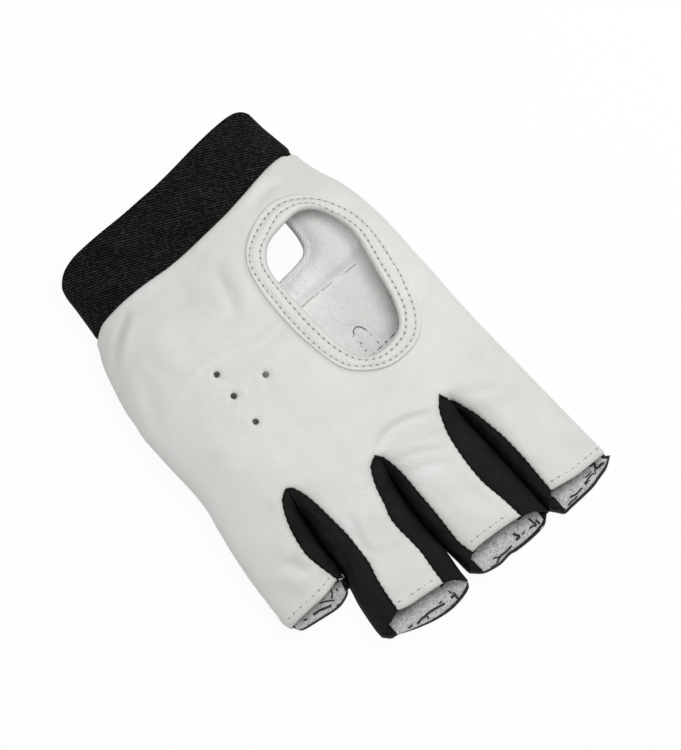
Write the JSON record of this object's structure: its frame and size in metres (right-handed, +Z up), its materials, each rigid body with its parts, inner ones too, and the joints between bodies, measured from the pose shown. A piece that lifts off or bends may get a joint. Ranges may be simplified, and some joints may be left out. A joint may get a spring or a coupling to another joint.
{
  "type": "field hockey glove",
  "caption": "Left-hand half-finger sports glove: white leather palm with a thumb hole, stretch side walls, padded back, wrist window and elastic cuff; the fingers flex.",
  "frame": {"origin": "under the middle of the glove, on the flat of the back that it lies on", "axes": "+X across the palm towards the little finger, +Y towards the fingertips, +Z up out of the palm"},
  "size_m": [0.123, 0.1794, 0.0272],
  "materials": {
    "leather": "matt white glove leather with a fine grain",
    "stretch": "black knitted stretch fabric",
    "back_fabric": "black woven shell fabric",
    "foam": "soft foam sheet",
    "lining": "white brushed terry",
    "elastic": "black woven elastic with fine diagonal ribs",
    "binding": "white woven tape"
  },
  "bodies": {
    "hand": {"palm_leather": "leather", "thumb_hole_facing": "leather", "cuff_elastic": "elastic", "index_middle_crotch": "stretch", "middle_ring_crotch": "stretch", "ring_little_crotch": "stretch", "back_shell": "back_fabric", "back_foam": "foam", "back_lining": "lining", "wrist_lining": "lining", "window_binding": "binding"},
    "index_finger": {"index_front": "leather", "index_right_fourchette": "stretch", "index_back_shell": "back_fabric", "index_foam": "foam", "index_lining": "lining"},
    "middle_finger": {"middle_front": "leather", "middle_left_fourchette": "stretch", "middle_right_fourchette": "stretch", "middle_back_shell": "back_fabric", "middle_foam": "foam", "middle_lining": "lining"},
    "ring_finger": {"ring_front": "leather", "ring_left_fourchette": "stretch", "ring_right_fourchette": "stretch", "ring_back_shell": "back_fabric", "ring_foam": "foam", "ring_lining": "lining"},
    "little_finger": {"little_front": "leather", "little_left_fourchette": "stretch", "little_back_shell": "back_fabric", "little_foam": "foam", "little_lining": "lining"}
  },
  "joints": [
    {"name": "index_flex", "type": "hinge", "parent": "hand", "child": "index_finger", "pos_m": [-0.04566, 0.03442, 0.022], "axis": [0.9998, -0.0183, 0], "range_deg": [0, 80], "stiffness_Nm_per_rad": 0.01},
    {"name": "middle_flex", "type": "hinge", "parent": "hand", "child": "middle_finger", "pos_m": [-0.01616, 0.03442, 0.022], "axis": [0.9965, -0.0837, 0], "range_deg": [0, 80], "stiffness_Nm_per_rad": 0.01},
    {"name": "ring_flex", "type": "hinge", "parent": "hand", "child": "ring_finger", "pos_m": [0.01577, 0.03209, 0.022], "axis": [0.9886, -0.1504, 0], "range_deg": [0, 80], "stiffness_Nm_per_rad": 0.01},
    {"name": "little_flex", "type": "hinge", "parent": "hand", "child": "little_finger", "pos_m": [0.04387, 0.019, 0.022], "axis": [0.9894, -0.1452, 0], "range_deg": [0, 80], "stiffness_Nm_per_rad": 0.01}
  ]
}
